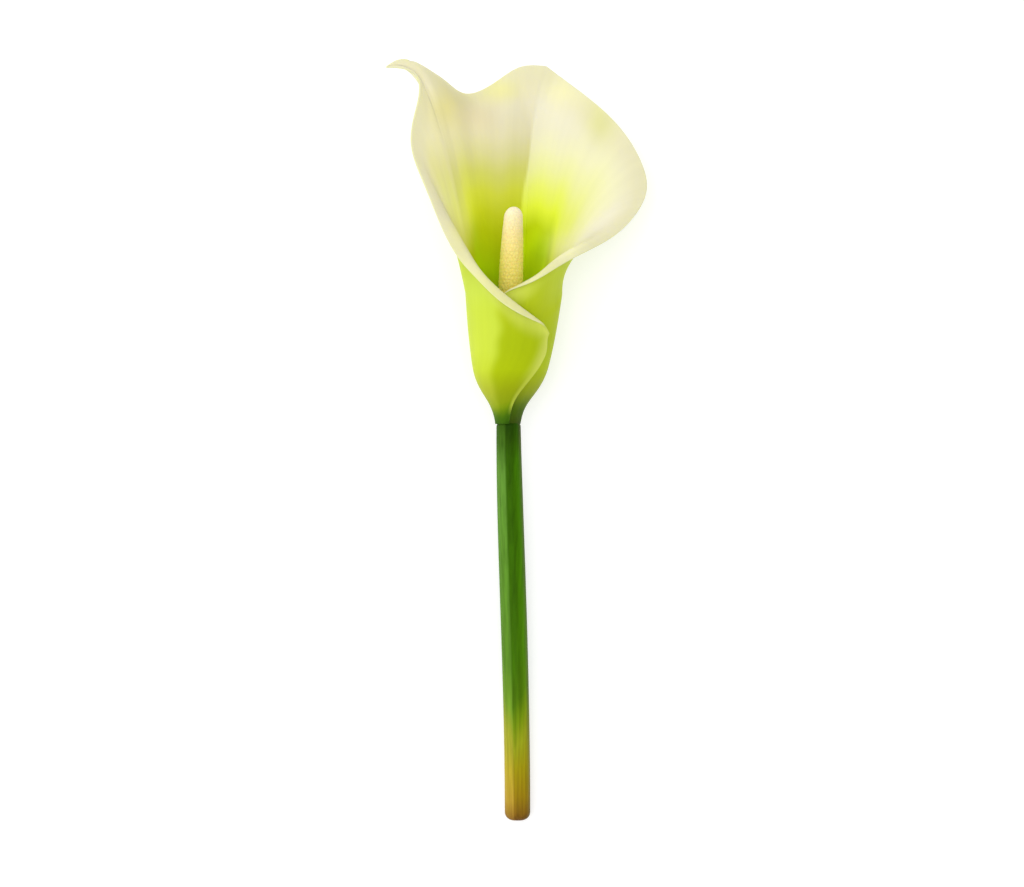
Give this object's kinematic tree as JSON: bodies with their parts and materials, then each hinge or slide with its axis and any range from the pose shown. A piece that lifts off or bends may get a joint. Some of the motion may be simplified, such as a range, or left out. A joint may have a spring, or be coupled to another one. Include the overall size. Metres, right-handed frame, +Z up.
{
  "type": "calla lily flower",
  "caption": "Cut calla lily lying face up: a bowed green stem, a pale spathe rolled into a lapped funnel with a hooked ear, and a yellow spadix standing inside it.",
  "frame": {"origin": "on the surface that the flower lies on, under the middle of the flower's box", "axes": "+Y from the cut end of the stem towards the bloom, +X to the flower's right as seen from above, +Z up from the surface, the way the open front of the bloom faces"},
  "size_m": [0.1042, 0.3058, 0.0472],
  "materials": {
    "stem": "satin",
    "spathe": "satin",
    "spadix": "matte"
  },
  "bodies": {
    "root": {"stem": "stem", "spathe": "spathe", "spadix": "spadix"}
  },
  "joints": []
}
